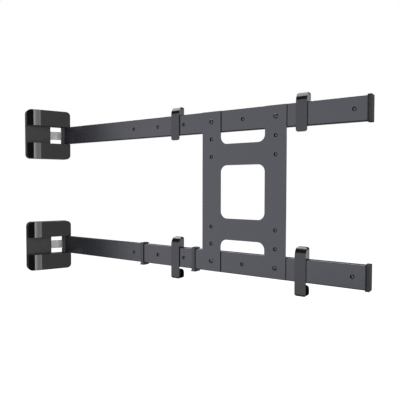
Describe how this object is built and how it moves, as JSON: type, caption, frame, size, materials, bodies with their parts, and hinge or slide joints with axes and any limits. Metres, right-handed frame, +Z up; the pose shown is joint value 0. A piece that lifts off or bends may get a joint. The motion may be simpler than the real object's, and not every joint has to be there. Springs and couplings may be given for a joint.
{
  "type": "tv wall mount",
  "caption": "Side-hinged television wall mount: two wall brackets, two swinging rails, a screen plate and sliding cable clips.",
  "frame": {"origin": "middle of the screen plate's front face, where the television bolts on", "axes": "+X along the rails from the hinge to their free end, +Y from the screen side to the back, +Z up; the frame stands 66.6 degrees open from the wall"},
  "size_m": [1.1639, 0.1488, 0.5734],
  "materials": {
    "frame_paint": "fine satin black powder coat",
    "cover_gloss": "polished black moulding",
    "clip_plastic": "satin black moulding",
    "cap_plastic": "satin black moulding",
    "zinc_steel": "dull zinc plated sheet",
    "black_fastener": "black oxide"
  },
  "bodies": {
    "wall_brackets": {"wall_plate_top": "frame_paint", "bracket_cover_top": "cover_gloss", "hinge_strap_top": "zinc_steel", "strap_rivets_top": "zinc_steel", "wall_plate_bottom": "frame_paint", "bracket_cover_bottom": "cover_gloss", "hinge_strap_bottom": "zinc_steel", "strap_rivets_bottom": "zinc_steel"},
    "swing_frame": {"tv_plate": "frame_paint", "plate_bushes": "black_fastener", "plate_screws": "black_fastener", "plate_rivet_nuts": "zinc_steel", "rail_top": "frame_paint", "rail_sleeves_top": "black_fastener", "end_cap_top": "cap_plastic", "hinge_barrel_top": "frame_paint", "hinge_pin_top": "zinc_steel", "hinge_washers_top": "zinc_steel", "rail_bottom": "frame_paint", "rail_sleeves_bottom": "black_fastener", "end_cap_bottom": "cap_plastic", "hinge_barrel_bottom": "frame_paint", "hinge_pin_bottom": "zinc_steel", "hinge_washers_bottom": "zinc_steel"},
    "clip_upper_left": {"clip_upper_left": "clip_plastic"},
    "clip_upper_right": {"clip_upper_right": "clip_plastic"},
    "clip_lower_left": {"clip_lower_left": "clip_plastic"},
    "clip_lower_right": {"clip_lower_right": "clip_plastic"},
    "cable_band_left": {"cable_band_left": "clip_plastic"},
    "cable_band_right": {"cable_band_right": "clip_plastic"}
  },
  "joints": [
    {"name": "swing", "type": "hinge", "parent": "wall_brackets", "child": "swing_frame", "pos_m": [-0.756, 0.013, 0], "axis": [0, 0, 1], "range_deg": [-43.4, 66.6]},
    {"name": "clip_upper_left_slide", "type": "slide", "parent": "swing_frame", "child": "clip_upper_left", "axis": [1, 0, 0], "range_m": [-0.37, 0.083]},
    {"name": "clip_upper_right_slide", "type": "slide", "parent": "swing_frame", "child": "clip_upper_right", "axis": [1, 0, 0], "range_m": [-0.023, 0.142]},
    {"name": "clip_lower_left_slide", "type": "slide", "parent": "swing_frame", "child": "clip_lower_left", "axis": [1, 0, 0], "range_m": [-0.04, 0.04]},
    {"name": "clip_lower_right_slide", "type": "slide", "parent": "swing_frame", "child": "clip_lower_right", "axis": [1, 0, 0], "range_m": [-0.023, 0.142]},
    {"name": "cable_band_left_slide", "type": "slide", "parent": "swing_frame", "child": "cable_band_left", "axis": [1, 0, 0], "range_m": [-0.286, 0.064]},
    {"name": "cable_band_right_slide", "type": "slide", "parent": "swing_frame", "child": "cable_band_right", "axis": [1, 0, 0], "range_m": [-0.002, 0.023]}
  ]
}
